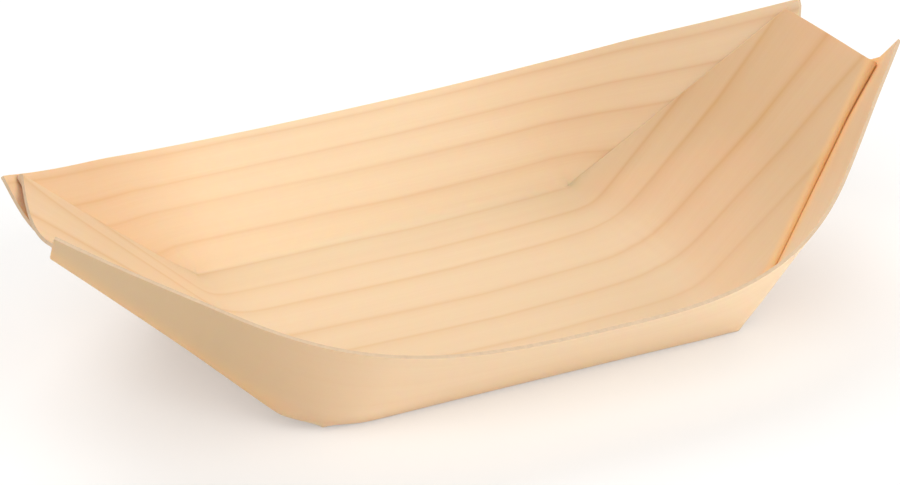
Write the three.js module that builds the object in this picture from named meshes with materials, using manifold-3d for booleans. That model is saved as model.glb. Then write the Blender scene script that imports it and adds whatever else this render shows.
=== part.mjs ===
// A wooden snack boat: one sheet of thin veneer, folded by hand at its sides and ends,
// with a glued knife pleat at each of its four corners. Millimetres, +Z up, length along X.
import * as THREE from 'three';
import { mergeVertices } from 'three/addons/utils/BufferGeometryUtils.js';
import Module from 'manifold-3d';

const wasm = await Module();
wasm.setup();

// Driving sizes, in millimetres
const floorLength = 84;        // flat floor, from pleat corner to pleat corner
const floorWidth = 64.4;
const endHeight = 55;          // end panel, up its slope from the corner to its cut edge
const endTopWidth = 24.6;      // cut edge of an end panel, between its two folds
const sideHeight = 28.7;       // side wall, up its slope from the fold to the rim
const sheetThickness = 0.6;
const endBendReach = 14;       // the floor rolls up into an end panel this far to each side
const cornerBendReach = 7;     // but only this far near the corners
const bendWidening = 30;       // distance from a corner where the roll has its full reach
const sideBendReach = 2.5;     // the floor rolls up into a side wall this far to each side
const leftEndBow = 2.4;        // bulge of the left end panel's cut edge
const wallPassing = 12;        // a wall's halves pass into each other this far from mid length
const pleatOpening = 8;        // distance from the corner where the pleat's layers have parted
const flapStart = 3;           // a flap leaves out this much next to the corner
const pleatStart = 6;          // and the rest of the pleat leaves out this much
const lapRun = 8;              // width over which a flap climbs onto its partner's
const lapClearance = 0.3;
const glueThickness = 0.15;
const glueClearance = 0.075;
const glueWidth = 4;

// How each corner was folded: slopes, taper and slant in degrees, stretches of rim and spread in millimetres.
// A wall's rim is straight over wallFlat at mid length and over earLength at its tip. The cut of the
// sheet's end slants by cutSlant, and the flap of a corner that is over lies on that of its partner.
const cornerFolds = [
  {
    name: 'right_far', signs: [1, 1], endSlope: 49.6, sideSlope: 52.6, moreTaper: 2.7,
    wallFlat: 15.6, earLength: 26.8, earSpread: 0, cutSlant: 0.6, over: false,
  },
  {
    name: 'left_far', signs: [-1, 1], endSlope: 47.6, sideSlope: 52.6, moreTaper: -2.8,
    wallFlat: 12.5, earLength: 27.8, earSpread: 1, cutSlant: 0, over: true,
  },
  {
    name: 'left_near', signs: [-1, -1], endSlope: 44.3, sideSlope: 48.2, moreTaper: 0.5,
    wallFlat: 6.2, earLength: 20.1, earSpread: 0.2, cutSlant: 0, over: false,
  },
  {
    name: 'right_near', signs: [1, -1], endSlope: 45.1, sideSlope: 48.2, moreTaper: 0,
    wallFlat: 16.6, earLength: 26.3, earSpread: 0.3, cutSlant: 2.4, over: true,
  },
];
const closingAngle = 30;       // degrees, reach of the wall that is drawn in to the pleat

// Twist and lean of the whole boat: millimetres at its tips for each product of x, y and z
const warpAlong = { xy: -0.8, yz: -1.5, xxz: 0.8 };
const warpAcross = { xy: 2.6, yy: -0.6, xyy: -1.5, xxy: 0.9 };
const warpUp = { z: -1, xz: 1.4, yz: -1.3, yyz: -2.8 };
const tipReach = 85;
const rimReach = 51;
const tipHeight = 42;

// Ratios
const bendOnset = 1.25;        // a bend is soft beyond this many corner reaches from the corner
const glueReach = 0.38;        // the glue ends by this share of the folded edge
const glueShare = 0.67;        // glued share of the stretch from the opening to there

// Fineness of the facets, and of the search for the wall's bend
const bendSteps = 4;
const sideBendSteps = 2;
const floorSteps = 8;
const widthSteps = 4;
const gluedSteps = 2;
const spreadSteps = 5;
const earSteps = 8;
const flapSteps = 8;
const rollSteps = 4;
const kernelSteps = 9;
const glueRings = 2;
const glueSpokes = 20;
const mostWallTurn = 3;        // radians, more than the wall can turn
const searchHalvings = 60;
const outStep = 0.02;          // distance for finding which way a surface looks
const grainsPerMillimetre = 1e4;

// Sizes that follow from the driving ones
const halfLength = floorLength / 2;
const halfWidth = floorWidth / 2;
const radians = Math.PI / 180;
const quarterTurn = Math.PI / 2;
const fullTurn = 2 * Math.PI;
const layerPitch = sheetThickness + glueThickness + 2 * glueClearance;
const meanTaper = Math.atan2((floorWidth - endTopWidth) / 2, endHeight);
const floorLevel = sheetThickness / 2;

const vector = (x, y, z) => new THREE.Vector3(x, y, z);
const alongX = vector(1, 0, 0);
const alongY = vector(0, 1, 0);

function mix(first, firstShare, second, secondShare) {
  return first.clone().multiplyScalar(firstShare).addScaledVector(second, secondShare);
}

function span(from, to, steps) {
  return Array.from({ length: steps + 1 }, (_, i) => from + ((to - from) * i) / steps);
}

function inOrder(values) {
  return [...new Set(values)].sort((a, b) => a - b);
}

function smooth(value) {
  const part = Math.min(Math.max(value, 0), 1);
  return part * part * (3 - 2 * part);
}

// How one corner folds. Sheet angles are measured at the corner, from the boat's length:
// the side wall lies below half a turn, the floor comes next, then the end panel.

// The side wall is flat, then bends evenly round the corner, then is flat again.
function wallFrame(corner, bend, angle) {
  const { wallUp, bendStart } = corner;
  const ray = mix(alongX, Math.cos(bendStart), wallUp, Math.sin(bendStart));
  const onward = mix(alongX, Math.sin(bendStart), wallUp, -Math.cos(bendStart));
  const out = ray.clone().cross(onward);
  const axis = out.clone().addScaledVector(ray, -bend);
  const turn = axis.length() * (bendStart - angle);
  axis.normalize();
  return [ray, onward, out].map((side) => side.applyAxisAngle(axis, turn));
}

// The wall's end has to reach the folded edge of the end panel, which sets the bend.
function solveWallBend(corner, foldRay) {
  let low = 0;
  let high = mostWallTurn / (corner.bendStart - corner.bendEnd);
  for (let i = 0; i < searchHalvings; i += 1) {
    const bend = (low + high) / 2;
    const miss = foldRay.dot(wallFrame(corner, bend, corner.bendEnd)[2]);
    if (miss < 0) low = bend;
    else high = bend;
  }
  return (low + high) / 2;
}

function makeCorner(fold) {
  const foldAngle = -meanTaper - fold.moreTaper * radians;
  const endSlope = fold.endSlope * radians;
  const sideSlope = fold.sideSlope * radians;
  const corner = {
    ...fold,
    bow: fold.signs[0] < 0 ? leftEndBow : 0,
    slant: Math.tan(fold.cutSlant * radians),
    foldAngle,
    foldLength: endHeight / Math.cos(foldAngle),
    endUp: vector(Math.cos(endSlope), 0, Math.sin(endSlope)),
    wallUp: vector(0, Math.cos(sideSlope), Math.sin(sideSlope)),
    bendStart: Math.PI - Math.atan2(sideHeight, halfLength - fold.wallFlat / 2),
    bendEnd: Math.atan2(sideHeight, endHeight - fold.earLength),
  };
  const foldRay = mix(corner.endUp, Math.cos(foldAngle), alongY, Math.sin(foldAngle));
  const wallBend = solveWallBend(corner, foldRay);
  const [bendEndRay, bendEndOnward] = wallFrame(corner, wallBend, corner.bendEnd);
  const pastBend = Math.atan2(foldRay.dot(bendEndOnward), foldRay.dot(bendEndRay));
  const lapAngle = corner.bendEnd - pastBend;
  const pleatAngle = (lapAngle - foldAngle) / 2;
  const backFoldAngle = foldAngle + pleatAngle;
  const backFoldOnEnd = foldAngle - pleatAngle;
  const flapReach = -Math.sin(backFoldOnEnd) * edgeDistance(corner, backFoldAngle) - halfWidth;
  const earTip = endHeight + corner.slant * (sideHeight - endHeight * Math.tan(foldAngle));
  const tipAngle = Math.atan2(sideHeight, earTip);
  Object.assign(corner, {
    wallBend, bendEndRay, bendEndOnward, lapAngle, pleatAngle, backFoldAngle, backFoldOnEnd, flapReach,
    tipAngle,
  });
  return corner;
}

// Distance from the corner to the sheet's cut edge, for rays of the pleat and the ear.
function edgeDistance({ slant, foldAngle }, angle) {
  const toEnd = endHeight * (1 - slant * Math.tan(foldAngle));
  const endEdge = toEnd / (Math.cos(angle) - slant * Math.sin(angle));
  return angle > 0 ? Math.min(endEdge, sideHeight / Math.sin(angle)) : endEdge;
}

// The glue lies along the middle of a pleat, on the stretch before a flap climbs.
function placeGlue(corner) {
  const lapEnd = corner.partner.flapReach + layerPitch + lapClearance + lapRun;
  const glueAngle = corner.foldAngle - corner.pleatAngle / 2;
  const lapStart = (halfWidth - lapEnd - glueWidth) / Math.sin(-glueAngle);
  const glueEnd = Math.min(lapStart, glueReach * corner.foldLength);
  const glueLength = glueShare * (glueEnd - pleatOpening);
  const spreadStart = glueEnd + glueWidth / 2;
  Object.assign(corner, { lapEnd, glueAngle, glueEnd, glueLength, spreadStart });
}

const corners = cornerFolds.map(makeCorner);
const cornerAt = (signX, signY) => (
  corners.find(({ signs }) => signs[0] === signX && signs[1] === signY)
);
for (const corner of corners) corner.partner = cornerAt(corner.signs[0], -corner.signs[1]);
corners.forEach(placeGlue);

// Direction in space of the sheet's ray at this angle, before any fold is softened.
function rayAt(corner, angle) {
  const { endUp, wallUp, bendStart, bendEnd, wallBend, bendEndRay, bendEndOnward } = corner;
  if (angle >= 3 * quarterTurn) return mix(endUp, Math.cos(angle), alongY, Math.sin(angle));
  if (angle >= Math.PI) return mix(alongX, Math.cos(angle), alongY, Math.sin(angle));
  if (angle >= bendStart) return mix(alongX, Math.cos(angle), wallUp, Math.sin(angle));
  if (angle >= bendEnd) return wallFrame(corner, wallBend, angle)[0];
  const past = bendEnd - angle;
  return mix(bendEndRay, Math.cos(past), bendEndOnward, Math.sin(past));
}

const kernel = [];
for (const du of span(-1, 1, kernelSteps - 1)) {
  for (const dv of span(-1, 1, kernelSteps - 1)) {
    const weight = 1 - du * du - dv * dv;
    if (weight > 0) kernel.push({ du, dv, weight });
  }
}
const kernelWeight = kernel.reduce((sum, sample) => sum + sample.weight, 0);

// Point of the folded sheet, with its bends softened by averaging the sharp fold nearby.
function foldedPoint(corner, angle, distance) {
  const softness = distance / Math.hypot(distance, bendOnset * cornerBendReach);
  const widening = smooth((distance - cornerBendReach) / (bendWidening - cornerBendReach));
  const endReach = cornerBendReach + (endBendReach - cornerBendReach) * widening;
  const u = distance * Math.cos(angle);
  const v = distance * Math.sin(angle);
  const point = vector(0, 0, 0);
  for (const { du, dv, weight } of kernel) {
    const nearU = u + du * endReach * softness;
    const nearV = v + dv * sideBendReach * softness;
    const swing = Math.atan2(nearV, nearU) - angle;
    const nearAngle = angle + Math.atan2(Math.sin(swing), Math.cos(swing));
    const share = (weight * Math.hypot(nearU, nearV)) / kernelWeight;
    point.addScaledVector(rayAt(corner, nearAngle), share);
  }
  return point;
}

const angleAt = (u, v) => (Math.atan2(v, u) + fullTurn) % fullTurn;

// Width of the floor or end panel on this corner's side of the middle.
const sideWidth = (corner, u) => halfWidth + Math.max(u, 0) * Math.tan(corner.foldAngle);

// Floor and end panel, which pass from this corner's fold to that of its partner.
function troughPoint(corner, angle, distance) {
  const u = distance * Math.cos(angle);
  const v = distance * Math.sin(angle);
  const own = sideWidth(corner, u);
  const other = sideWidth(corner.partner, u);
  const place = (2 * (halfWidth + v + other)) / (own + other) - 1;
  const share = smooth((place + 1) / 2);
  const partnerV = -v - floorWidth;
  const across = foldedPoint(corner.partner, angleAt(u, partnerV), Math.hypot(u, partnerV));
  across.y = -across.y - floorWidth;
  const point = mix(foldedPoint(corner, angle, distance), share, across, 1 - share);
  const bulge = corner.bow * (1 - place * place) * (Math.max(u, 0) / endHeight) ** 2;
  const up = mix(corner.endUp, bulge / 2, corner.partner.endUp, bulge / 2);
  return point.add(vector(up.z, 0, -up.x));
}

// The flaps cross the middle of the end, where one climbs over the other.
function lapLift(corner, angle, distance) {
  if (!corner.over) return 0;
  const fromMiddle = halfWidth + distance * Math.sin(angle);
  return 2 * layerPitch * smooth((corner.lapEnd - fromMiddle) / lapRun);
}

// How far a pleat layer lies behind the end panel.
function layerOffset(corner, layers, angle, distance) {
  if (layers === 0) return 0;
  const parting = Math.min(1, distance / pleatOpening);
  return layers * layerPitch * parting + lapLift(corner, angle, distance);
}

function earOffset(corner, angle, distance) {
  const { spreadStart, foldLength, earSpread, backFoldAngle, pleatAngle } = corner;
  const rise = smooth((distance - spreadStart) / (foldLength - spreadStart));
  return earSpread * rise * smooth((2 * (angle - backFoldAngle)) / pleatAngle - 1);
}

// Outward direction of a surface given as a function of corner, angle and distance.
function outwardOf(surface, corner, angle, distance) {
  const turn = outStep / distance;
  const along = surface(corner, angle, distance + outStep);
  along.sub(surface(corner, angle, distance - outStep));
  const across = surface(corner, angle + turn, distance);
  across.sub(surface(corner, angle - turn, distance));
  return across.cross(along).normalize();
}

const troughOutward = (corner, angle, distance) => outwardOf(troughPoint, corner, angle, distance);

// Flap of the side wall behind the end panel, hinged on the pleat's back fold.
function flapPoint(corner, angle, distance) {
  const behind = fullTurn + angle - 2 * corner.pleatAngle;
  const offset = layerOffset(corner, 2, behind, distance) + earOffset(corner, angle, distance);
  const out = troughOutward(corner, behind, distance);
  return troughPoint(corner, behind, distance).addScaledVector(out, offset);
}

// Side wall, drawn in so that its end meets the flap at the end panel's folded edge.
function wallPoint(corner, angle, distance) {
  const { lapAngle } = corner;
  if (angle < lapAngle) return flapPoint(corner, angle, distance);
  const point = foldedPoint(corner, angle, distance);
  const closing = 1 - smooth((angle - lapAngle) / (closingAngle * radians));
  if (closing === 0) return point;
  const miss = flapPoint(corner, lapAngle, distance).sub(foldedPoint(corner, lapAngle, distance));
  return point.addScaledVector(miss, closing);
}

// At mid length a wall's two halves pass into each other.
function sidePoint(corner, angle, distance) {
  const point = wallPoint(corner, angle, distance);
  const fromMiddle = halfLength + distance * Math.cos(angle);
  const share = smooth((fromMiddle / wallPassing + 1) / 2);
  if (share === 1) return point;
  const along = cornerAt(-corner.signs[0], corner.signs[1]);
  const u = -fromMiddle - halfLength;
  const v = distance * Math.sin(angle);
  const other = wallPoint(along, angleAt(u, v), Math.hypot(u, v));
  other.x = -other.x - floorLength;
  return mix(point, share, other, 1 - share);
}

// At the corner itself the outer face looks midway between wall, floor and end panel.
const panelMiddles = [1, 2.5, 3.5].map((turns) => turns * quarterTurn);

function cornerOut(corner) {
  return panelMiddles
    .map((angle) => outwardOf(foldedPoint, corner, angle, 2 * outStep))
    .reduce((sum, out) => sum.add(out), vector(0, 0, 0))
    .normalize();
}

// The whole boat's twist and lean, which leave its floor flat.
function warped(point) {
  const place = {
    x: point.x / tipReach,
    y: point.y / rimReach,
    z: Math.max(point.z - floorLevel, 0) / tipHeight,
  };
  const move = (terms) => Object.entries(terms).reduce((sum, [letters, size]) => (
    sum + [...letters].reduce((product, letter) => product * place[letter], size)
  ), 0);
  return point.clone().add(vector(move(warpAlong), move(warpAcross), move(warpUp)));
}

// A sheet vertex: where its middle lies, and which way its outer face looks.
function finishVertex({ signs: [signX, signY] }, local, localOut) {
  const place = (point) => vector(signX * point.x, signY * point.y, point.z);
  const start = place(local.clone().add(vector(halfLength, halfWidth, floorLevel)));
  const middle = warped(start);
  const out = warped(start.addScaledVector(place(localOut), outStep)).sub(middle).normalize();
  return { middle, out };
}

function sheetVertex(surface, corner, angle, distance) {
  if (distance < outStep) return finishVertex(corner, vector(0, 0, 0), cornerOut(corner));
  const out = outwardOf(surface, corner, angle, distance);
  return finishVertex(corner, surface(corner, angle, distance), out);
}

function flatVertex(surface, corner, u, v) {
  return sheetVertex(surface, corner, angleAt(u, v), Math.hypot(u, v));
}

// Rows run out from the corner, as shares of the way to the sheet's edge.
const glueLimit = Math.min(...corners.map(({ spreadStart, foldLength }) => spreadStart / foldLength));
const bendRows = span(0, endBendReach / endHeight, bendSteps);
const gluedRows = span(endBendReach / endHeight, glueLimit, gluedSteps);
const spreadRows = span(glueLimit, 1, spreadSteps);
const rows = inOrder([...bendRows, pleatOpening / endHeight, ...gluedRows, ...spreadRows]);
const flapRows = rows.filter((row) => row * endHeight > flapStart);
const pleatRows = rows.filter((row) => row * endHeight > pleatStart);

const halfColumns = [
  ...span(0, halfLength - endBendReach, floorSteps),
  ...span(halfLength - endBendReach, halfLength, bendSteps).slice(1),
];
const columns = [...halfColumns.slice(1).map((x) => -x).reverse(), ...halfColumns];
const halfShares = [
  ...span(0, 1 - sideBendReach / halfWidth, widthSteps),
  ...span(1 - sideBendReach / halfWidth, 1, sideBendSteps).slice(1),
];
const shares = [...halfShares.slice(1).map((share) => -share).reverse(), ...halfShares];
const signOf = (value) => (value < 0 ? -1 : 1);

function floorGrid() {
  return columns.map((x) => shares.map((share) => {
    const corner = cornerAt(signOf(x), signOf(share));
    const surface = Math.abs(share) === 1 ? sidePoint : troughPoint;
    return flatVertex(surface, corner, Math.abs(x) - halfLength, (Math.abs(share) - 1) * halfWidth);
  }));
}

function endGrid(end) {
  return rows.map((row) => {
    const u = row * endHeight;
    const far = sideWidth(cornerAt(end, 1), u);
    const near = sideWidth(cornerAt(end, -1), u);
    return shares.map((share) => {
      const y = ((share + 1) * far + (share - 1) * near) / 2;
      return flatVertex(troughPoint, cornerAt(end, signOf(y)), u, Math.abs(y) - halfWidth);
    });
  });
}

function sideGrid(side) {
  return columns.map((x) => rows.map((row) => (
    flatVertex(sidePoint, cornerAt(signOf(x), side), Math.abs(x) - halfLength, row * sideHeight)
  )));
}

function earGrid(corner) {
  const { lapAngle, tipAngle } = corner;
  const angles = inOrder([...span(lapAngle, quarterTurn, earSteps), Math.max(tipAngle, lapAngle)]);
  return rows.map((row) => angles.map((angle) => (
    sheetVertex(wallPoint, corner, angle, row * edgeDistance(corner, angle))
  )));
}

function flapVertex(corner, angle, distance) {
  if (angle === corner.lapAngle) return sheetVertex(wallPoint, corner, angle, distance);
  const out = troughOutward(corner, fullTurn + angle - 2 * corner.pleatAngle, distance);
  return finishVertex(corner, flapPoint(corner, angle, distance), out);
}

function flapGrid(corner) {
  const { lapAngle, backFoldAngle, tipAngle } = corner;
  const angles = inOrder([...span(backFoldAngle, lapAngle, flapSteps), Math.min(tipAngle, lapAngle)]);
  return flapRows.map((row) => angles.map((angle) => (
    flapVertex(corner, angle, row * edgeDistance(corner, angle))
  )));
}

// A half turn of the sheet from one layer to the next, rolled round a fold.
function rollVertex(corner, fold, distance, turn) {
  const onEnd = fullTurn + fold.angle;
  const out = troughOutward(corner, onEnd, distance);
  const before = troughPoint(corner, onEnd, distance - outStep);
  const ray = troughPoint(corner, onEnd, distance + outStep).sub(before).normalize();
  const across = ray.cross(out).multiplyScalar(fold.side);
  const from = layerOffset(corner, fold.layer, onEnd, distance);
  const radius = (layerOffset(corner, fold.layer + 1, onEnd, distance) - from) / 2;
  const spoke = mix(out, -Math.cos(turn), across, Math.sin(turn));
  const axis = troughPoint(corner, onEnd, distance).addScaledVector(out, from + radius);
  return finishVertex(corner, axis.addScaledVector(spoke, radius), spoke.multiplyScalar(-fold.side));
}

function hiddenVertex(corner, angle, distance) {
  const behind = fullTurn + 2 * corner.foldAngle - angle;
  const out = troughOutward(corner, behind, distance);
  const offset = layerOffset(corner, 1, behind, distance);
  const middle = troughPoint(corner, behind, distance).addScaledVector(out, offset);
  return finishVertex(corner, middle, out.negate());
}

// The pleat's hidden layer, with the rolled folds that join it to the end and to the flap.
function pleatGrid(corner) {
  const { foldAngle, backFoldAngle, backFoldOnEnd } = corner;
  const frontFold = { angle: foldAngle, side: 1, layer: 0 };
  const backFold = { angle: backFoldOnEnd, side: -1, layer: 1 };
  const turns = span(0, Math.PI, rollSteps);
  const hidden = span(foldAngle, backFoldAngle, flapSteps).slice(1, -1);
  const reach = (angle) => edgeDistance(corner, angle);
  return pleatRows.map((row) => [
    ...turns.map((turn) => rollVertex(corner, frontFold, row * reach(foldAngle), turn)),
    ...hidden.map((angle) => hiddenVertex(corner, angle, row * reach(angle))),
    ...turns.map((turn) => rollVertex(corner, backFold, row * reach(backFoldAngle), turn)),
  ]);
}

// A film of glue, pressed to an oval between two layers of a pleat.
function glueGrid(corner, layer) {
  const { glueEnd, glueLength, glueAngle } = corner;
  return span(0, 1, glueRings).map((ring) => span(0, fullTurn, glueSpokes).map((turn) => {
    const along = glueEnd - glueLength / 2 + (ring * Math.cos(turn) * glueLength) / 2;
    const aside = (ring * Math.sin(turn) * glueWidth) / 2;
    const angle = fullTurn + glueAngle + Math.atan2(aside, along);
    const distance = Math.hypot(along, aside);
    const out = troughOutward(corner, angle, distance);
    const offset = layerOffset(corner, layer, angle, distance);
    const nextOffset = layerOffset(corner, layer + 1, angle, distance);
    const middle = troughPoint(corner, angle, distance).addScaledVector(out, (offset + nextOffset) / 2);
    return finishVertex(corner, middle, out);
  }));
}

// Turning grids of sheet vertices into closed solids.

// Each patch is a grid of vertices, and its facets may run the other way round.
function collectTriangles(patches) {
  const vertices = [];
  const triangles = [];
  const known = new Map();
  const indexOf = (vertex) => {
    const grains = vertex.middle.toArray().map((value) => Math.round(value * grainsPerMillimetre));
    const key = grains.join();
    if (!known.has(key)) {
      known.set(key, vertices.length);
      vertices.push(vertex);
    }
    return known.get(key);
  };
  for (const { grid, flipped } of patches) {
    const ids = grid.map((line) => line.map(indexOf));
    for (let i = 0; i + 1 < ids.length; i += 1) {
      for (let j = 0; j + 1 < ids[i].length; j += 1) {
        const [a, b, c, d] = [ids[i][j], ids[i + 1][j], ids[i + 1][j + 1], ids[i][j + 1]];
        for (const [p, q, r] of [[a, b, c], [a, c, d]]) {
          if (p !== q && q !== r && r !== p) triangles.push(flipped ? [p, r, q] : [p, q, r]);
        }
      }
    }
  }
  return { vertices, triangles };
}

function freeEdges(triangles) {
  const edges = new Map();
  for (const [a, b, c] of triangles) {
    for (const [from, to] of [[a, b], [b, c], [c, a]]) {
      if (!edges.delete(`${to} ${from}`)) edges.set(`${from} ${to}`, [from, to]);
    }
  }
  return [...edges.values()];
}

function thickSolid(patches, thickness) {
  const { vertices, triangles } = collectTriangles(patches);
  const count = vertices.length;
  const face = (side) => vertices.flatMap(({ middle, out }) => (
    middle.clone().addScaledVector(out, (side * thickness) / 2).toArray()
      .map((value) => Math.round(value * grainsPerMillimetre) / grainsPerMillimetre)
  ));
  const faces = triangles.flatMap(([a, b, c]) => [a, b, c, a + count, c + count, b + count]);
  for (const [from, to] of freeEdges(triangles)) {
    const rising = vertices[to].middle.z > vertices[from].middle.z;
    const wall = rising
      ? [to, from, from + count, to, from + count, to + count]
      : [to, from, to + count, from, from + count, to + count];
    faces.push(...wall);
  }
  return new wasm.Manifold(new wasm.Mesh({
    numProp: 3,
    vertProperties: new Float32Array([...face(-1), ...face(1)]),
    triVerts: new Uint32Array(faces),
  }));
}

function toGeometry(solid) {
  const { vertProperties, triVerts } = solid.getMesh();
  const geometry = new THREE.BufferGeometry();
  geometry.setAttribute('position', new THREE.BufferAttribute(vertProperties, 3));
  geometry.setIndex(new THREE.BufferAttribute(triVerts, 1));
  return mergeVertices(geometry);
}

const mirrored = ({ signs }) => signs[0] * signs[1] < 0;

// The sheet: its floor with the end panels, the floor with the side walls, and four pleats.
function makeSheet() {
  const floor = { grid: floorGrid(), flipped: false };
  const ends = [1, -1].map((end) => ({ grid: endGrid(end), flipped: end < 0 }));
  const sides = [1, -1].map((side) => ({ grid: sideGrid(side), flipped: side < 0 }));
  const ears = corners.map((corner) => ({ grid: earGrid(corner), flipped: mirrored(corner) }));
  const flaps = corners.map((corner) => ({ grid: flapGrid(corner), flipped: mirrored(corner) }));
  const trough = thickSolid([floor, ...ends], sheetThickness);
  const walls = thickSolid([floor, ...sides, ...ears, ...flaps], sheetThickness);
  const pleats = corners.map((corner) => (
    thickSolid([{ grid: pleatGrid(corner), flipped: mirrored(corner) }], sheetThickness)
  ));
  return toGeometry(pleats.reduce((joined, solid) => joined.add(solid), trough.add(walls)));
}

function makeGlue(corner, layer) {
  const patch = { grid: glueGrid(corner, layer), flipped: mirrored(corner) };
  return toGeometry(thickSolid([patch], glueThickness));
}

// The boat, with the middle of its outline over the origin
const sheetGeometry = makeSheet();
sheetGeometry.computeBoundingBox();
const middle = sheetGeometry.boundingBox.getCenter(vector(0, 0, 0));
const boat = new THREE.Group();

function addPiece(name, geometry, colour, roughness) {
  const material = new THREE.MeshStandardMaterial({ color: colour, roughness, metalness: 0 });
  const piece = new THREE.Mesh(geometry.translate(-middle.x, -middle.y, 0), material);
  piece.name = name;
  boat.add(piece);
}

addPiece('veneer_sheet', sheetGeometry, 0xe2bd8a, 0.75);
for (const corner of corners) {
  addPiece(`inner_glue_${corner.name}`, makeGlue(corner, 0), 0xe9dcbb, 0.35);
  addPiece(`outer_glue_${corner.name}`, makeGlue(corner, 1), 0xe9dcbb, 0.35);
}

export default boat;
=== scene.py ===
"""A wooden snack boat: one sheet of veneer, folded as by hand, with four glued pleats."""
import math

import bpy
import numpy as np
from mathutils import Matrix, Vector


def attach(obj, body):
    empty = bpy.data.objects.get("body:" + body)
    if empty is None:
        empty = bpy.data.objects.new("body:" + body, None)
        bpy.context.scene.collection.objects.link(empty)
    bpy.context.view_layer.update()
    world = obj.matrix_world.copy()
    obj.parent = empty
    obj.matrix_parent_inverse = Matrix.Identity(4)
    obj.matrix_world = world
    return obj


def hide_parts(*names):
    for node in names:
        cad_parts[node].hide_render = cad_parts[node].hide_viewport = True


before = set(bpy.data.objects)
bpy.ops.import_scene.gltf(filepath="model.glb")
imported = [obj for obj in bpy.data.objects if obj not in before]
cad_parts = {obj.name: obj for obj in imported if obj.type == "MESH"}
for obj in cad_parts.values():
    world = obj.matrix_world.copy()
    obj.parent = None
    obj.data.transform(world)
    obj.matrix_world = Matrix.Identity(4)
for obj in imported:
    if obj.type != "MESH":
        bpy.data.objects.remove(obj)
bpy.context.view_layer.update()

# Sizes of the sheet and its bends, in millimetres. BEND_ONSET is a factor
FLOOR_LENGTH = 84.0
FLOOR_WIDTH = 64.4
END_HEIGHT = 55.0
SIDE_HEIGHT = 28.7
THICKNESS = 0.6
END_BEND = 14.0
CORNER_BEND = 7.0
BEND_WIDENING = 30.0
SIDE_BEND = 2.5
BEND_ONSET = 1.25
LEFT_END_BOW = 2.4
WALL_PASSING = 12.0

# The pleats, in millimetres, and the turn of wall drawn in to them. The solid part's layers lie wider
PLEAT_OPENING = 8.0
LAP_RUN = 8.0
LAP_CLEARANCE = 0.3
LAYER_PITCH = 0.66
CLOSING = math.radians(30)

# The glue films: thickness and width in millimetres, and shares of the pleat's length
GLUE_THICKNESS = 0.05
GLUE_WIDTH = 4.0
GLUE_REACH = 0.38
GLUE_SHARE = 0.67

# Each floor corner is pressed in: how far round it, by how much along, across and up, and its share
DULL_REACH = 5.5
DULL_BY = np.array([-0.8, -0.8, 0.9])
DULL_SHARES = {"right_far": 0.4, "left_far": 0.4, "left_near": 1.0, "right_near": 0.2}

# Lengths, directions and turns that follow, and the steps of the folding
MILLIMETRE = 0.001
HALF_LENGTH = FLOOR_LENGTH / 2
HALF_WIDTH = FLOOR_WIDTH / 2
FLOOR_LEVEL = THICKNESS / 2
QUARTER = math.pi / 2
FULL = 2 * math.pi
ALONG_X = np.array([1.0, 0.0, 0.0])
ALONG_Y = np.array([0.0, 1.0, 0.0])
STEP = 0.02
MOST_TURN = 3.0
HALVINGS = 60
KERNEL_STEPS = 9

# How each corner is folded by hand: angles in degrees, lengths in millimetres
CORNER_FOLDS = {
    "right_far": dict(side=(1, 1), end_slope=49.6, side_slope=52.6, taper=22.6,
                      wall_flat=15.6, ear_length=26.8, spread=0.15, slant=0.6, over=False),
    "left_far": dict(side=(-1, 1), end_slope=47.6, side_slope=52.6, taper=17.1,
                     wall_flat=12.5, ear_length=27.8, spread=0.2, slant=0.0, over=True),
    "left_near": dict(side=(-1, -1), end_slope=44.3, side_slope=48.2, taper=20.4,
                      wall_flat=6.2, ear_length=20.1, spread=0.6, slant=0.0, over=False),
    "right_near": dict(side=(1, -1), end_slope=45.1, side_slope=48.2, taper=19.9,
                       wall_flat=16.6, ear_length=26.3, spread=0.3, slant=1.6, over=True),
}

# Twist and lean of the whole boat: millimetres at its tips for each product of x, y and z
WARP_SCALE = dict(x=85.0, y=51.0, z=42.0)
WARP_ALONG = dict(xy=-0.8, yz=-1.5, xxz=0.8)
WARP_ACROSS = dict(xy=2.6, yy=-0.6, xyy=-1.5, xxy=0.9)
WARP_UP = dict(z=-1.0, xz=1.4, yz=-1.3, yyz=-3.1)


def smooth(value):
    part = np.clip(value, 0, 1)
    return part * part * (3 - 2 * part)


def unit(vectors):
    return vectors / np.linalg.norm(vectors, axis=-1, keepdims=True)


def plane(first, second, angle):
    return np.cos(angle)[..., None] * first + np.sin(angle)[..., None] * second


def polar(u, v):
    return np.arctan2(v, u) % FULL, np.hypot(u, v)


def kernel_samples():
    line = np.linspace(-1, 1, KERNEL_STEPS)
    du, dv = np.meshgrid(line, line)
    weight = 1 - du**2 - dv**2
    inside = weight > 0
    return list(zip(du[inside], dv[inside], weight[inside] / weight[inside].sum()))


KERNEL = kernel_samples()


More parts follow.
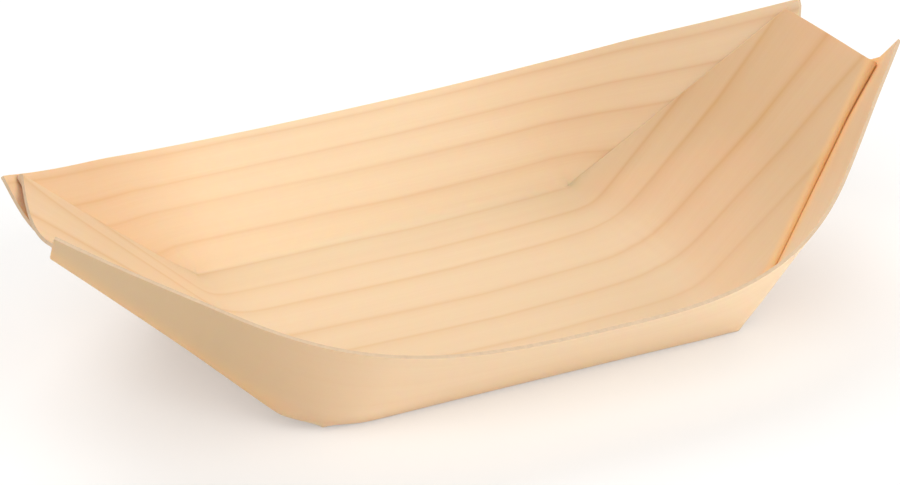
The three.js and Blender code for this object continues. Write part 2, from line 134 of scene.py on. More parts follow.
class Corner:
    """The fold round one floor corner. Sheet angles are measured there from the boat's length."""

    def __init__(self, side, end_slope, side_slope, taper, wall_flat, ear_length, spread, slant, over):
        self.side = np.array([side[0], side[1], 1.0])
        self.over = over
        self.slant = math.tan(math.radians(slant))
        self.bow = LEFT_END_BOW if side[0] < 0 else 0.0
        slope = math.radians(end_slope)
        lean = math.radians(side_slope)
        self.fold = -math.radians(taper)
        self.spread = spread
        self.bend_start = math.pi - math.atan2(SIDE_HEIGHT, HALF_LENGTH - wall_flat / 2)
        self.bend_end = math.atan2(SIDE_HEIGHT, END_HEIGHT - ear_length)
        self.fold_length = END_HEIGHT / math.cos(self.fold)
        self.end_up = np.array([math.cos(slope), 0, math.sin(slope)])
        self.wall_up = np.array([0, math.cos(lean), math.sin(lean)])
        self.solve_bend()
        self.pleat = (self.lap - self.fold) / 2
        self.back = self.fold + self.pleat
        self.back_on_end = self.fold - self.pleat
        self.reach = -math.sin(self.back_on_end) * self.edge_distance(self.back) - HALF_WIDTH
        ear_tip = END_HEIGHT + self.slant * (SIDE_HEIGHT - END_HEIGHT * math.tan(self.fold))
        self.tip = math.atan2(SIDE_HEIGHT, ear_tip)

    def edge_distance(self, angle):
        """Distance from the corner to the sheet's cut edge, for rays of the pleat and the ear."""
        to_end = END_HEIGHT * (1 - self.slant * math.tan(self.fold))
        slope = math.cos(angle) - self.slant * math.sin(angle)
        end_edge = to_end / slope if slope > 0 else math.inf
        return min(end_edge, SIDE_HEIGHT / math.sin(angle)) if angle > 0 else end_edge

    def meet(self, partner):
        """The other corner of the same end sets where this one's flap climbs and its glue ends."""
        self.partner = partner
        self.lap_end = partner.reach + LAYER_PITCH + LAP_CLEARANCE + LAP_RUN
        self.glue_angle = self.fold - self.pleat / 2
        lap_start = (HALF_WIDTH - self.lap_end - GLUE_WIDTH) / math.sin(-self.glue_angle)
        self.glue_end = min(lap_start, GLUE_REACH * self.fold_length)
        self.glue_length = GLUE_SHARE * (self.glue_end - PLEAT_OPENING)
        self.spread_start = self.glue_end + GLUE_WIDTH / 2

    def solve_bend(self):
        """The wall's end has to reach the folded edge of the end panel, which sets the bend."""
        fold_ray = math.cos(self.fold) * self.end_up + math.sin(self.fold) * ALONG_Y
        low, high = 0.0, MOST_TURN / (self.bend_start - self.bend_end)
        for _ in range(HALVINGS):
            self.bend = (low + high) / 2
            if fold_ray @ self.wall_frame(self.bend_end)[2] < 0:
                low = self.bend
            else:
                high = self.bend
        self.end_ray, self.end_on, _ = self.wall_frame(self.bend_end)
        self.lap = self.bend_end - math.atan2(fold_ray @ self.end_on, fold_ray @ self.end_ray)

    def wall_frame(self, angle):
        """The side wall is flat, then bends evenly round the corner, then is flat again."""
        start = self.bend_start
        ray = math.cos(start) * ALONG_X + math.sin(start) * self.wall_up
        onward = math.sin(start) * ALONG_X - math.cos(start) * self.wall_up
        out = np.cross(ray, onward)
        axis = out - self.bend * ray
        turn = np.linalg.norm(axis) * (start - np.asarray(angle, float))
        axis = unit(axis)
        cosine, sine = np.cos(turn)[..., None], np.sin(turn)[..., None]
        return [v * cosine + np.cross(axis, v) * sine + axis * (axis @ v) * (1 - cosine)
                for v in (ray, onward, out)]

    def ray_at(self, angle):
        """Direction in space of the sheet's rays, before any fold is softened."""
        ray = plane(self.end_ray, self.end_on, self.bend_end - angle)
        bent = angle >= self.bend_end
        ray[bent] = self.wall_frame(angle[bent])[0]
        wall = angle >= self.bend_start
        ray[wall] = plane(ALONG_X, self.wall_up, angle[wall])
        floor = angle >= math.pi
        ray[floor] = plane(ALONG_X, ALONG_Y, angle[floor])
        end = angle >= 3 * QUARTER
        ray[end] = plane(self.end_up, ALONG_Y, angle[end])
        return ray

    def folded(self, angle, distance):
        """Points of the folded sheet, its bends softened by averaging the sharp fold nearby."""
        angle, distance = np.broadcast_arrays(np.asarray(angle, float), np.asarray(distance, float))
        softness = distance / np.hypot(distance, BEND_ONSET * CORNER_BEND)
        widening = smooth((distance - CORNER_BEND) / (BEND_WIDENING - CORNER_BEND))
        end_reach = CORNER_BEND + (END_BEND - CORNER_BEND) * widening
        u, v = distance * np.cos(angle), distance * np.sin(angle)
        point = np.zeros(angle.shape + (3,))
        for du, dv, weight in KERNEL:
            near_u = u + du * end_reach * softness
            near_v = v + dv * SIDE_BEND * softness
            swing = np.arctan2(near_v, near_u) - angle
            near_angle = angle + np.arctan2(np.sin(swing), np.cos(swing))
            point += (weight * np.hypot(near_u, near_v))[..., None] * self.ray_at(near_angle)
        return point

    def side_width(self, u):
        """Width of the floor or end panel on this corner's side of the middle."""
        return HALF_WIDTH + np.maximum(u, 0) * math.tan(self.fold)

    def trough(self, angle, distance):
        """Floor and end panel, which pass from this corner's fold to that of its partner."""
        u, v = distance * np.cos(angle), distance * np.sin(angle)
        own, other = self.side_width(u), self.partner.side_width(u)
        place = 2 * (HALF_WIDTH + v + other) / (own + other) - 1
        share = smooth((place + 1) / 2)[..., None]
        across = self.partner.folded(*polar(u, -v - FLOOR_WIDTH))
        across[..., 1] = -across[..., 1] - FLOOR_WIDTH
        point = share * self.folded(angle, distance) + (1 - share) * across
        bulge = self.bow * (1 - place**2) * (np.maximum(u, 0) / END_HEIGHT)**2
        up = (self.end_up + self.partner.end_up) / 2
        return point + bulge[..., None] * np.array([up[2], 0, -up[0]])

    def outward(self, angle, distance):
        """Outward direction of the floor or end panel."""
        turn = STEP / distance
        along = self.trough(angle, distance + STEP) - self.trough(angle, distance - STEP)
        across = self.trough(angle + turn, distance) - self.trough(angle - turn, distance)
        return unit(np.cross(across, along))

    def layer_offset(self, layers, angle, distance):
        """How far a pleat layer lies behind the end panel. One flap climbs over the other."""
        lift = 0
        if self.over and layers:
            from_middle = HALF_WIDTH + distance * np.sin(angle)
            lift = 2 * LAYER_PITCH * smooth((self.lap_end - from_middle) / LAP_RUN)
        return layers * LAYER_PITCH * np.minimum(1, distance / PLEAT_OPENING) + lift

    def behind_end(self, angle, distance, offset):
        return self.trough(angle, distance) + offset[..., None] * self.outward(angle, distance)

    def ear_offset(self, angle, distance):
        rise = smooth((distance - self.spread_start) / (self.fold_length - self.spread_start))
        return self.spread * rise * smooth(2 * (angle - self.back) / self.pleat - 1)

    def flap(self, angle, distance):
        behind = FULL + angle - 2 * self.pleat
        offset = self.layer_offset(2, behind, distance) + self.ear_offset(angle, distance)
        return self.behind_end(behind, distance, offset)

    def wall(self, angle, distance):
        """The side wall, drawn in so that its end meets the flap at the end panel's folded edge."""
        point = self.folded(angle, distance)
        closing = 1 - smooth((angle - self.lap) / CLOSING)
        drawn = (closing > 0) & (distance > STEP)
        reach = distance[drawn]
        lap = np.full_like(reach, self.lap)
        miss = self.flap(lap, reach) - self.folded(lap, reach)
        point[drawn] += closing[drawn][..., None] * miss
        return point

    def hidden(self, angle, distance):
        behind = FULL + 2 * self.fold - angle
        return self.behind_end(behind, distance, self.layer_offset(1, behind, distance))

    def roll(self, angle, side, layer, distance, turn):
        """A half turn of the sheet from one layer to the next, rolled round a fold."""
        on_end = np.full_like(distance, FULL + angle)
        out = self.outward(on_end, distance)
        ray = unit(self.trough(on_end, distance + STEP) - self.trough(on_end, distance - STEP))
        across = np.cross(ray, out) * side
        start = self.layer_offset(layer, on_end, distance)
        radius = ((self.layer_offset(layer + 1, on_end, distance) - start) / 2)[..., None]
        spoke = np.sin(turn)[:, None] * across - np.cos(turn)[:, None] * out
        return self.trough(on_end, distance) + start[..., None] * out + radius * (out + spoke)

    def place(self, local):
        return (local + [HALF_LENGTH, HALF_WIDTH, FLOOR_LEVEL]) * self.side


CORNERS = {name: Corner(**fold) for name, fold in CORNER_FOLDS.items()}


def corner_of(end, side):
    return next(c for c in CORNERS.values() if c.side[0] == end and c.side[1] == side)


for folded_corner in CORNERS.values():
    folded_corner.meet(corner_of(folded_corner.side[0], -folded_corner.side[1]))

# The flat sheet is cut into patches with shared borders, whose vertices lie closer at the bends
CLOSE_SHARE = 0.16
CLOSE_ROWS = 12
WIDE_ROWS = 34
STRIP_SHARE = 0.1
STRIP_LENGTH = 9.0
STRIP_STEPS = 8
LENGTH_STRIP_STEPS = 10
MIDDLE_STEPS = 41
LENGTH_MIDDLE_STEPS = 45
EAR_STEPS = 44
FLAP_STEPS = 16
ROLL_STEPS = 8
KEY_DIGITS = 3


def closer_at_borders(half, strip, strip_steps, middle_steps):
    """Places from one border to the other, closer in a strip along each."""
    inner = half - strip
    border = np.linspace(0, strip, strip_steps)
    middle = np.linspace(-inner, inner, middle_steps)[1:-1]
    return np.concatenate([border - half, middle, inner + border])


ROWS = np.concatenate([np.linspace(0, CLOSE_SHARE, CLOSE_ROWS), np.linspace(CLOSE_SHARE, 1, WIDE_ROWS)[1:]])
ACROSS = closer_at_borders(1, STRIP_SHARE, STRIP_STEPS, MIDDLE_STEPS)
LENGTHS = closer_at_borders(HALF_LENGTH, STRIP_LENGTH, LENGTH_STRIP_STEPS, LENGTH_MIDDLE_STEPS)


class Sheet:
    """Collects patches of the flat sheet, each vertex with its place in the sheet and in space."""

    def __init__(self):
        self.index = {}
        self.points = []
        self.flat = []
        self.faces = []

    def vertex(self, key, point, flat):
        if key not in self.index:
            self.index[key] = len(self.points)
            self.points.append(point)
            self.flat.append(flat)
        return self.index[key]

    def add(self, points, flat, tags, flipped):
        rows, columns = flat.shape[:2]
        ids = np.empty((rows, columns), int)
        for i in range(rows):
            for j in range(columns):
                place = flat[i, j]
                key = (round(place[0], KEY_DIGITS), round(place[1], KEY_DIGITS), int(tags[i, j]))
                ids[i, j] = self.vertex(key, points[i, j], place)
        for i in range(rows - 1):
            for j in range(columns - 1):
                corners = [ids[i, j], ids[i + 1, j], ids[i + 1, j + 1], ids[i, j + 1]]
                face = [v for n, v in enumerate(corners) if v != corners[n - 1]]
                if len(set(face)) > 2:
                    self.faces.append(face[::-1] if flipped else face)


def trough_points(end, u, v):
    far, near = corner_of(end, 1), corner_of(end, -1)
    far_points = far.place(far.trough(*polar(u, v - HALF_WIDTH)))
    near_points = near.place(near.trough(*polar(u, -v - HALF_WIDTH)))
    return np.where((v > 0)[..., None], far_points, near_points)


def add_floor(sheet):
    length, share = np.meshgrid(LENGTHS, ACROSS, indexing="ij")
    width = share * HALF_WIDTH
    right = trough_points(1, length - HALF_LENGTH, width)
    left = trough_points(-1, -length - HALF_LENGTH, width)
    points = np.where((length > 0)[..., None], right, left)
    sheet.add(points, np.stack([length, width], -1), np.zeros(length.shape), False)


def add_end(sheet, end):
    far, near = corner_of(end, 1), corner_of(end, -1)
    row, share = np.meshgrid(ROWS, ACROSS, indexing="ij")
    u = row * END_HEIGHT
    width = ((share + 1) * far.side_width(u) + (share - 1) * near.side_width(u)) / 2
    flat = np.stack([end * (HALF_LENGTH + u), width], -1)
    sheet.add(trough_points(end, u, width), flat, np.zeros(u.shape), end < 0)


def add_side(sheet, side):
    length, row = np.meshgrid(LENGTHS, ROWS, indexing="ij")
    v = row * SIDE_HEIGHT
    right, left = corner_of(1, side), corner_of(-1, side)
    right_points = right.place(right.wall(*polar(length - HALF_LENGTH, v)))
    left_points = left.place(left.wall(*polar(-length - HALF_LENGTH, v)))
    share = smooth((length / WALL_PASSING + 1) / 2)[..., None]
    points = share * right_points + (1 - share) * left_points
    flat = np.stack([length, side * (HALF_WIDTH + v)], -1)
    sheet.add(points, flat, np.zeros(v.shape), side < 0)


def fan_blocks(corner):
    """The blocks of a corner's fan, from the wall round the pleat to the end panel's edge.

    Each is its sheet angles, its surface, and tags that part the columns of a roll."""
    ear = np.append(np.linspace(corner.lap, QUARTER, EAR_STEPS), max(corner.tip, corner.lap))
    flap = np.append(np.linspace(corner.lap, corner.back, FLAP_STEPS)[1:], min(corner.tip, corner.lap))
    hidden = np.linspace(corner.back, corner.fold, FLAP_STEPS)[1:-1]
    turns = np.linspace(math.pi, 0, ROLL_STEPS)
    steps = np.arange(ROLL_STEPS)

    def back_roll(angle, distance):
        return corner.roll(corner.back_on_end, -1, 1, distance, turns[1:])

    def front_roll(angle, distance):
        return corner.roll(corner.fold, 1, 0, distance, turns)

    front_steps = np.append(ROLL_STEPS + steps[:-1], 0)
    return [
        (np.unique(ear)[::-1], corner.wall, 0),
        (np.unique(flap)[::-1], corner.flap, 0),
        (np.full(ROLL_STEPS - 1, corner.back), back_roll, steps[1:]),
        (hidden, corner.hidden, 0),
        (np.full(ROLL_STEPS, corner.fold), front_roll, front_steps),
    ]


def add_fan(sheet, corner):
    points, flat, tags = [], [], []
    for angles, surface, steps in fan_blocks(corner):
        reach = np.array([corner.edge_distance(angle) for angle in angles])
        distance = ROWS[:, None] * reach
        angle = np.broadcast_to(angles, distance.shape)
        block = surface(angle, np.maximum(distance, 2 * STEP))
        block[0] = 0
        points.append(corner.place(block))
        place = np.stack([HALF_LENGTH + distance * np.cos(angle), HALF_WIDTH + distance * np.sin(angle)], -1)
        flat.append(place * corner.side[:2])
        tags.append(np.where(ROWS[:, None] > 0, steps, np.zeros(distance.shape)))
    mirrored = corner.side[0] * corner.side[1] < 0
    sheet.add(np.hstack(points), np.hstack(flat), np.hstack(tags), not mirrored)


def warp(points):
    """The small twist and lean that folding by hand leaves in the whole boat. The floor stays flat."""
    lift = np.maximum(points[:, 2] - FLOOR_LEVEL, 0)
    place = dict(x=points[:, 0] / WARP_SCALE["x"], y=points[:, 1] / WARP_SCALE["y"],
                 z=lift / WARP_SCALE["z"])
    moves = [sum(size * np.prod([place[letter] for letter in letters], axis=0)
                 for letters, size in terms.items())
             for terms in (WARP_ALONG, WARP_ACROSS, WARP_UP)]
    return points + np.stack(moves, -1)


def dull_corners(points):
    """Presses each floor corner in and up a little, as no sheet folds to a sharp point."""
    for name, corner in CORNERS.items():
        tip = corner.place(np.zeros(3))
        near = DULL_SHARES[name] * np.exp(-(np.linalg.norm(points - tip, axis=1) / DULL_REACH)**2)
        points = points + near[:, None] * DULL_BY * corner.side
    return points


def fold_sheet():
    sheet = Sheet()
    add_floor(sheet)
    for sign in (1, -1):
        add_end(sheet, sign)
        add_side(sheet, sign)
    for corner in CORNERS.values():
        add_fan(sheet, corner)
    return warp(dull_corners(np.array(sheet.points))), np.array(sheet.flat), sheet.faces


def vertex_normals(points, faces):
    normals = np.zeros_like(points)
    for face in faces:
        p = points[face]
        normal = np.cross(p[1] - p[0], p[2] - p[0])
        if len(face) == 4:
            normal = normal + np.cross(p[2] - p[0], p[3] - p[0])
        normals[face] += normal
    return unit(normals)


def free_edges(faces):
    edges = {}
    for face in faces:
        for start, end in zip(face, face[1:] + face[:1]):
            if edges.pop((end, start), None) is None:
                edges[(start, end)] = True
    return list(edges)


def thicken(points, faces, thickness):
    """Both faces of a sheet and the strip round its cut edge, which comes last in the faces."""
    normals = vertex_normals(points, faces)
    count = len(points)
    solid = np.vstack([points + normals * thickness / 2, points - normals * thickness / 2])
    upper = [list(face) for face in faces]
    lower = [[v + count for v in face[::-1]] for face in faces]
    strip = [[b, a, a + count, b + count] for a, b in free_edges(faces)]
    return solid, upper + lower + strip, len(strip)


SHARP_ANGLE = math.radians(50)


def make_object(name, points, faces, materials, strip=0):
    mesh = bpy.data.meshes.new(name)
    mesh.from_pydata((points * MILLIMETRE).tolist(), [], faces)
    mesh.shade_smooth()
    for material in materials:
        mesh.materials.append(material)
    if strip:
        which = np.zeros(len(faces), np.int32)
        which[-strip:] = 1
        mesh.polygons.foreach_set("material_index", which)
    mesh.set_sharp_from_angle(angle=SHARP_ANGLE)
    thing = bpy.data.objects.new(name, mesh)
    bpy.context.scene.collection.objects.link(thing)
    return thing


def add_attribute(thing, name, kind, field, values):
    attribute = thing.data.attributes.new(name, kind, "POINT")
    attribute.data.foreach_set(field, np.asarray(values, np.float32).ravel())


# Colours of the wood and the glue
WHITE = (1, 1, 1, 1)
PALE_WOOD = (0.785, 0.585, 0.38, 1)
# Painted light: a paler, lit copy of the wood, painted on the side walls
LIT_WALL_WOOD = (0.82, 0.66, 0.445, 1)
# Late wood of the growth lines, and the painted shade on the two end panels
LINE_AND_SHADE_WOOD = (0.66, 0.385, 0.185, 1)
# The cut edge's own colour, darkened further by painted shade along the rim
CUT_AND_SHADE_WOOD = (0.57, 0.415, 0.275, 1)
# Painted light: an orange glow by the pleats' crevices
PAINTED_GLOW_WOOD = (0.92, 0.54, 0.22, 1)
# Painted shade: a darker, greyer copy of the wood on the near wall's left part
PAINTED_SHADE_WOOD = (0.61, 0.445, 0.265, 1)
GLUE_COLOUR = (0.72, 0.62, 0.42, 1)

# Places of the growth lines across the flat sheet, and how far they drift along it, in millimetres
GROWTH_LINES = [-66, -58, -50.5, -43, -35, -27.5, -18.6, -9.2, 0, 11.8, 20.6, 30.5, 38.6, 46.8, 52.6, 59, 66]
DRIFT_AT = [-97, -40, -15, 5, 25, 40, 55, 75, 97]
DRIFT_BY = [3.5, 1.6, 0.4, -0.3, 0.8, 2.2, 0.5, -1.7, -1.9]
DRIFT_REACH = 40.0


def ring_field(flat):
    """Counts the growth lines across the sheet. Each whole number is a line."""
    drift = np.interp(flat[:, 0], DRIFT_AT, DRIFT_BY)
    across = flat[:, 1] - drift * np.exp(-(flat[:, 1] / DRIFT_REACH)**2)
    return np.interp(across, GROWTH_LINES, np.arange(len(GROWTH_LINES)))


# Painted light: an orange glow painted into the wood's colour by the crevice of each pleat, as if light
# passed through the thin wood, and a painted highlight along the end panel's folded edge: shares and
# millimetres
GLOW_SHARES = {"right_far": 0.0, "left_far": 0.15, "left_near": 0.4, "right_near": 1.0}
EAR_GLOW = 3.2
EDGE_GLOW = 0.8
EDGE_SHARE = 0.5
GLOW_START = 4.0
GLOW_RISE = 10.0


def painted_pleat_glow(flat):
    """How near each place of the sheet is to a pleat's crevice, on the ear and on the end panel: the mask of
    the painted glow and highlight.
    """
    glow = np.zeros(len(flat))
    for name, corner in CORNERS.items():
        local = flat * corner.side[:2] - [HALF_LENGTH, HALF_WIDTH]
        angle, distance = polar(local[:, 0], local[:, 1])
        for fold, width, share in ((corner.lap, EAR_GLOW, 1.0), (corner.fold, EDGE_GLOW, EDGE_SHARE)):
            swing = (angle - fold + math.pi) % FULL - math.pi
            near = np.exp(-(swing * distance / width)**2) * smooth((distance - GLOW_START) / GLOW_RISE)
            glow = np.maximum(glow, GLOW_SHARES[name] * share * near)
    return glow


# Noises of the wood, drawn out along the flat sheet: repeats per centimetre, detail, roughness and shift
CENTIMETRES = 0.1
WANDER_GRAIN = dict(along=0.15, across=0.8, detail=2.0, shift=3.0)
PATCH_GRAIN = dict(along=0.1, across=0.6, detail=1.0, shift=21.0)
FIBRE_GRAIN = dict(along=0.3, across=24.0, detail=4.0, rough=0.7)
STREAK_GRAIN = dict(along=0.1, across=5.0, shift=7.0)
TONE_GRAIN = dict(along=0.12, across=0.45, detail=1.5, shift=11.0)
SPECK_GRAIN = dict(along=9.0, across=9.0, detail=2.0)

# Stops of the wood's ramps: a place and the value there. The sheet's middle is at a half of its places
HALF = 0.5
ALONG_SCALE = 0.05
ACROSS_SCALE = 0.08
LATE_WOOD = [(0.0, 1.0), (0.035, 0.6), (0.09, 0.16), (0.16, 0.0), (0.62, 0.0), (0.82, 0.2), (0.93, 0.5),
             (1.0, 1.0)]
LINES_ACROSS = [(0.2, 0.1), (0.26, 0.5), (0.4, 1.0), (0.66, 1.0), (0.8, 0.8)]
LINE_PATCHES = [(0.3, 0.65), (0.7, 1.0)]
FIBRES = [(0.3, 0.0), (0.75, 1.0)]
STREAKS = [(0.35, 0.0), (0.7, 1.0)]
TONES = [(0.3, 0.0), (0.7, 1.0)]
SPECKS = [(0.35, 0.0), (0.7, 1.0)]
# Painted shade on the right and left end panels, kept off the far wall at the right end
RIGHT_END = [(0.72, 0.0), (0.87, 1.0)]
LEFT_END = [(0.16, 1.0), (0.32, 0.0)]
OFF_FAR_WALL = [(0.66, 1.0), (0.75, 0.0)]
# Painted shade: where the near wall's left part is darkened
NEAR_WALL = [(0.2, 1.0), (0.25, 0.0)]
LEFT_OF_WALL = [(0.18, 1.0), (0.33, 0.0)]
# Painted light: where the side walls are painted paler, less so toward the left end
LIT_WALLS_ACROSS = [(0.2, 0.7), (0.25, 0.0), (0.7, 0.0), (0.78, 1.0)]
LIT_WALLS_ALONG = [(0.2, 0.2), (0.36, 1.0)]

# How much each mark of the wood counts
WANDER_BY = 0.22
LINE_WEIGHT = 0.5
STREAK_WEIGHT = 0.06
FIBRE_WEIGHT = 0.08
TONE_WEIGHT = 0.07
# Painted shade on the two end panels
RIGHT_END_SHADE_WEIGHT = 0.42
LEFT_END_SHADE_WEIGHT = 0.3
# Painted glow by the pleats
PAINTED_GLOW_WEIGHT = 0.9
SPECK_WEIGHT = 0.25

# Surfaces of the wood and the glue. The scatter is the light that thin veneer lets through
WOOD_ROUGHNESS = 0.65
WOOD_SPECULAR = 0.25
SCATTER_WEIGHT = 0.4
SCATTER_RADIUS = (1.0, 0.4, 0.15)
SCATTER_SCALE = 0.001
BUMP_STRENGTH = 0.1
BUMP_DISTANCE = 0.0002
CUT_ROUGHNESS = 0.8
GLUE_ROUGHNESS = 0.35
GLUE_CLOUDS = 600.0
GLUE_CLOUD_DETAIL = 2.0


class Nodes:
    """Short ways to add and join the nodes of one material."""

    def __init__(self, name):
        self.material = bpy.data.materials.new(name)
        self.material.use_nodes = True
        self.tree = self.material.node_tree
        self.tree.nodes.clear()

    def add(self, kind, settings=None, **inputs):
        """Adds a node. The names of its inputs are given with _ for each space."""
        node = self.tree.nodes.new("ShaderNode" + kind)
        for name, value in (settings or {}).items():
            setattr(node, name, value)
        for name, value in inputs.items():
            self.plug(node.inputs[name.replace("_", " ")], value)
        return node

    def plug(self, socket, value):
        if isinstance(value, bpy.types.NodeSocket):
            self.tree.links.new(value, socket)
        else:
            socket.default_value = value

    def math(self, operation, first, second):
        node = self.add("Math", {"operation": operation})
        self.plug(node.inputs[0], first)
        self.plug(node.inputs[1], second)
        return node.outputs[0]

    def ramp(self, factor, stops):
        """A curve through the stops, which are given in order."""
        node = self.add("ValToRGB", Fac=factor)
        elements = node.color_ramp.elements
        while len(elements) < len(stops):
            elements.new(HALF)
        for element, (position, value) in zip(elements, stops):
            element.position = position
            element.color = (value, value, value, 1)
        return node.outputs["Color"]

    def blend(self, factor, first, second):
        node = self.add("Mix", {"data_type": "RGBA"})
        self.plug(node.inputs["Factor"], factor)
        self.plug(node.inputs[6], first)
        self.plug(node.inputs[7], second)
        return node.outputs[2]

    def attribute(self, name, output="Fac"):
        return self.add("Attribute", {"attribute_name": name}).outputs[output]

    def sheet_place(self, axis, scale):
        """Place along or across the sheet, scaled so that the sheet's middle is a half."""
        place = self.add("SeparateXYZ", Vector=self.attribute("sheet", "Vector")).outputs[axis]
        return self.math("ADD", self.math("MULTIPLY", place, scale), HALF)

    def grain(self, along, across, detail=3.0, rough=0.6, shift=0.0):
        """Noise drawn out along the sheet's length. The first two are repeats per centimetre."""
        mapping = self.add("Mapping", Vector=self.attribute("sheet", "Vector"), Scale=(along, across, 1),
                           Location=(shift, shift, shift))
        noise = self.add("TexNoise", Vector=mapping.outputs[0], Scale=1.0, Detail=detail, Roughness=rough)
        return noise.outputs["Fac"]

    def total(self, parts):
        """Sum of values, each with its weight."""
        sums = [self.math("MULTIPLY", value, weight) for value, weight in parts]
        while len(sums) > 1:
            sums.append(self.math("ADD", sums.pop(0), sums.pop(0)))
        return sums[0]

    def finish(self, shader):
        output = self.add("OutputMaterial")
        self.tree.links.new(shader.outputs[0], output.inputs["Surface"])
        return self.material


def growth_lines(nodes, spread):
    """Lines of late wood, fainter toward the sheet's sides and in patches."""
    wander = nodes.math("SUBTRACT", nodes.grain(**WANDER_GRAIN), HALF)
    ring = nodes.total([(nodes.attribute("ring"), 1.0), (wander, WANDER_BY)])
    late = nodes.ramp(nodes.math("FRACT", ring, 0.0), LATE_WOOD)
    middle = nodes.ramp(spread, LINES_ACROSS)
    patches = nodes.ramp(nodes.grain(**PATCH_GRAIN), LINE_PATCHES)
    return nodes.math("MULTIPLY", nodes.math("MULTIPLY", late, middle), patches)


def darkening(nodes, spread, length, fibres):
    """How dark the wood is, from its lines, streaks and fibres, and from painted shade on its two end panels.
    """
    # Painted shade on the right end panel
    right_end_shade = nodes.math("MULTIPLY", nodes.ramp(length, RIGHT_END), nodes.ramp(spread, OFF_FAR_WALL))
    return nodes.total([
        (growth_lines(nodes, spread), LINE_WEIGHT),
        (nodes.ramp(nodes.grain(**STREAK_GRAIN), STREAKS), STREAK_WEIGHT),
        (fibres, FIBRE_WEIGHT),
        (nodes.ramp(nodes.grain(**TONE_GRAIN), TONES), TONE_WEIGHT),
        (right_end_shade, RIGHT_END_SHADE_WEIGHT),
        (nodes.ramp(length, LEFT_END), LEFT_END_SHADE_WEIGHT),
    ])


def veneer_material():
    nodes = Nodes("veneer")
    spread = nodes.sheet_place("Y", ACROSS_SCALE)
    length = nodes.sheet_place("X", ALONG_SCALE)
    fibres = nodes.ramp(nodes.grain(**FIBRE_GRAIN), FIBRES)
    # Painted light on the side walls
    painted_wall_light = nodes.math("MULTIPLY", nodes.ramp(spread, LIT_WALLS_ACROSS), nodes.ramp(length, LIT_WALLS_ALONG))
    # Painted shade on the near wall's left part
    shade = nodes.math("MULTIPLY", nodes.ramp(spread, NEAR_WALL), nodes.ramp(length, LEFT_OF_WALL))
    # Painted light: the orange glow and highlight by the pleats' crevices
    glow = nodes.math("MULTIPLY", nodes.attribute("glow"), PAINTED_GLOW_WEIGHT)
    colour = nodes.blend(painted_wall_light, PALE_WOOD, LIT_WALL_WOOD)
    colour = nodes.blend(darkening(nodes, spread, length, fibres), colour, LINE_AND_SHADE_WOOD)
    colour = nodes.blend(shade, colour, PAINTED_SHADE_WOOD)
    colour = nodes.blend(glow, colour, PAINTED_GLOW_WOOD)
    bump = nodes.add("Bump", Strength=BUMP_STRENGTH, Distance=BUMP_DISTANCE, Height=fibres)
    shader = nodes.add("BsdfPrincipled", Base_Color=colour, Roughness=WOOD_ROUGHNESS,
                       Specular_IOR_Level=WOOD_SPECULAR, Subsurface_Weight=SCATTER_WEIGHT,
                       Subsurface_Radius=SCATTER_RADIUS, Subsurface_Scale=SCATTER_SCALE,
                       Normal=bump.outputs[0])
    return nodes.finish(shader)


def cut_edge_material():
    nodes = Nodes("cut_edge")
    specks = nodes.ramp(nodes.grain(**SPECK_GRAIN), SPECKS)
    # Cut edge colour with painted shade, flecked with paler specks
    colour = nodes.blend(nodes.math("MULTIPLY", specks, SPECK_WEIGHT), CUT_AND_SHADE_WOOD, PALE_WOOD)
    shader = nodes.add("BsdfPrincipled", Base_Color=colour, Roughness=CUT_ROUGHNESS)
    return nodes.finish(shader)


def glue_material():
    nodes = Nodes("dried_glue")
    place = nodes.add("TexCoord").outputs["Object"]
    cloud = nodes.add("TexNoise", Vector=place, Scale=GLUE_CLOUDS, Detail=GLUE_CLOUD_DETAIL)
    colour = nodes.blend(cloud.outputs["Fac"], GLUE_COLOUR, PALE_WOOD)
    shader = nodes.add("BsdfPrincipled", Base_Color=colour, Roughness=GLUE_ROUGHNESS)
    return nodes.finish(shader)


# The veneer, with the middle of its outline over the origin
points, flat, faces = fold_sheet()
solid, solid_faces, strip = thicken(points, faces, THICKNESS)
centre = (solid.min(axis=0) + solid.max(axis=0)) / 2 * [1, 1, 0]
wood = [veneer_material(), cut_edge_material()]
boat = make_object("veneer_boat", solid - centre, solid_faces, wood, strip)
both_faces = np.vstack([flat, flat])
add_attribute(boat, "sheet", "FLOAT_VECTOR", "vector", np.pad(both_faces * CENTIMETRES, ((0, 0), (0, 1))))
add_attribute(boat, "ring", "FLOAT", "value", ring_field(both_faces))
add_attribute(boat, "glow", "FLOAT", "value", painted_pleat_glow(both_faces))
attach(boat, "root")
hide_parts("veneer_sheet")

# The glue films, between the layers of each pleat
RING_COUNT = 5
SPOKE_COUNT = 24
GLUE_RINGS = np.linspace(0, 1, RING_COUNT)
GLUE_SPOKES = np.linspace(0, FULL, SPOKE_COUNT + 1)[:-1]


def glue_film(corner, layer):
    """A thin oval of glue that lies between two layers behind the end panel."""
    radius, spoke = np.meshgrid(GLUE_RINGS, GLUE_SPOKES, indexing="ij")
    along = corner.glue_end - corner.glue_length / 2 * (1 - radius * np.cos(spoke))
    aside = radius * np.sin(spoke) * GLUE_WIDTH / 2
    angle = FULL + corner.glue_angle + np.arctan2(aside, along)
    distance = np.hypot(along, aside)
    offsets = [corner.layer_offset(layer + n, angle, distance) for n in (0, 1)]
    places = corner.place(corner.behind_end(angle, distance, sum(offsets) / 2))
    count = SPOKE_COUNT
    points = np.vstack([places[0, :1], places[1:].reshape(-1, 3)])
    faces = [[0, 1 + j, 1 + (j + 1) % count] for j in range(count)]
    for i in range(RING_COUNT - 2):
        for j in range(count):
            a, b = 1 + i * count + j, 1 + i * count + (j + 1) % count
            faces.append([a, a + count, b + count, b])
    return warp(points), faces


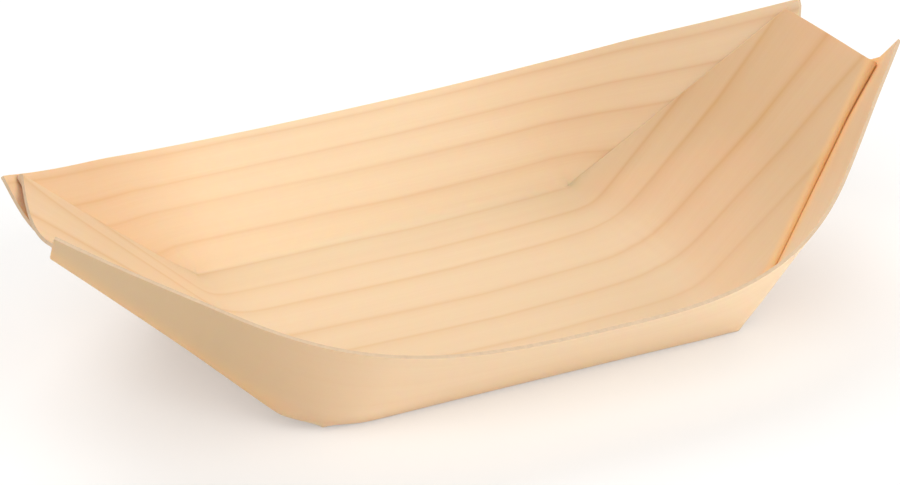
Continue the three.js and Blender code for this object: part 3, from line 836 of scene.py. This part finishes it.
glue = glue_material()
for layer, layer_name in enumerate(("inner", "outer")):
    for corner_name, corner in CORNERS.items():
        film_points, film_faces, _ = thicken(*glue_film(corner, layer), GLUE_THICKNESS)
        film = make_object(f"{layer_name}_film_{corner_name}", film_points - centre, film_faces, [glue])
        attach(film, "root")
        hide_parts(f"{layer_name}_glue_{corner_name}")

# The table and the light, in metres and shares of white
TABLE_REACH = 3.0
TABLE_TOP = -0.0001
TABLE_GLOW = 0.32
TABLE_WHITE = (0.93, 0.915, 0.9, 1)
LAMP_DISTANCE = 1.5
LAMP_SIZE = 1.2
LAMP_COLOUR = (1.0, 1.0, 1.0)
WORLD_STRENGTH = 0.4

# Each softbox: its direction round from the right end, its height, both in degrees, and its power
SOFTBOXES = {
    "back_softbox": (88, 50, 10.4),
    "left_softbox": (-138, 46, 9.6),
    "right_softbox": (-48, 23, 14.4),
}


def table_material():
    nodes = Nodes("table")
    seen = nodes.add("LightPath").outputs["Is Camera Ray"]
    paper = nodes.add("BsdfDiffuse", Color=TABLE_WHITE)
    glow = nodes.add("Emission", Color=WHITE, Strength=1.0)
    mixed = nodes.add("MixShader", Fac=nodes.math("MULTIPLY", seen, TABLE_GLOW))
    nodes.tree.links.new(paper.outputs[0], mixed.inputs[1])
    nodes.tree.links.new(glow.outputs[0], mixed.inputs[2])
    return nodes.finish(mixed)


def add_table():
    reach, level = TABLE_REACH, TABLE_TOP
    outline = [(-reach, -reach, level), (reach, -reach, level), (reach, reach, level), (-reach, reach, level)]
    mesh = bpy.data.meshes.new("table")
    mesh.from_pydata(outline, [], [(0, 1, 2, 3)])
    mesh.materials.append(table_material())
    table = bpy.data.objects.new("table", mesh)
    bpy.context.scene.collection.objects.link(table)


def add_softbox(name, azimuth, height, power):
    data = bpy.data.lights.new(name, "AREA")
    data.shape = "DISK"
    data.size = LAMP_SIZE
    data.energy = power
    data.color = LAMP_COLOUR
    lamp = bpy.data.objects.new(name, data)
    aim = Matrix.Rotation(math.radians(azimuth), 3, "Z") @ Matrix.Rotation(-math.radians(height), 3, "Y")
    lamp.location = aim @ Vector((LAMP_DISTANCE, 0, 0))
    lamp.rotation_euler = (-lamp.location).to_track_quat("-Z", "Y").to_euler()
    bpy.context.scene.collection.objects.link(lamp)


def add_world():
    world = bpy.data.worlds.new("studio")
    world.use_nodes = True
    background = world.node_tree.nodes["Background"]
    background.inputs["Color"].default_value = WHITE
    background.inputs["Strength"].default_value = WORLD_STRENGTH
    bpy.context.scene.world = world


add_table()
for softbox_name, softbox in SOFTBOXES.items():
    add_softbox(softbox_name, *softbox)
add_world()

# The camera, from the fit of the folds to the photograph: degrees, millimetres and pixels
CAMERA_AZIMUTH = -25.91
CAMERA_HEIGHT = 28.25
CAMERA_ROLL = -0.27
CAMERA_DISTANCE = 485.2
CAMERA_ASIDE = (1.44, -11.42)
CAMERA_FOCUS = 2531.9
PHOTO_WIDTH = 900
SENSOR = 36.0
CLIP_START = 0.01


def add_camera():
    azimuth, height, roll = (math.radians(a) for a in (CAMERA_AZIMUTH, CAMERA_HEIGHT, CAMERA_ROLL))
    level = Vector((math.cos(azimuth), math.sin(azimuth), 0))
    onward = Vector((-math.sin(azimuth), math.cos(azimuth), 0))
    ahead = math.cos(height) * onward - math.sin(height) * Vector((0, 0, 1))
    rise = level.cross(ahead)
    right = math.cos(roll) * level + math.sin(roll) * rise
    up = math.cos(roll) * rise - math.sin(roll) * level
    place = -CAMERA_DISTANCE * ahead - CAMERA_ASIDE[0] * right - CAMERA_ASIDE[1] * up - Vector(centre)
    data = bpy.data.cameras.new("camera")
    data.sensor_width = SENSOR
    data.lens = SENSOR * CAMERA_FOCUS / PHOTO_WIDTH
    data.clip_start = CLIP_START
    camera = bpy.data.objects.new("camera", data)
    turn = Matrix((right, up, -ahead)).transposed().to_4x4()
    camera.matrix_world = Matrix.Translation(place * MILLIMETRE) @ turn
    bpy.context.scene.collection.objects.link(camera)
    bpy.context.scene.camera = camera


add_camera()
bpy.context.scene.view_settings.view_transform = "Standard"
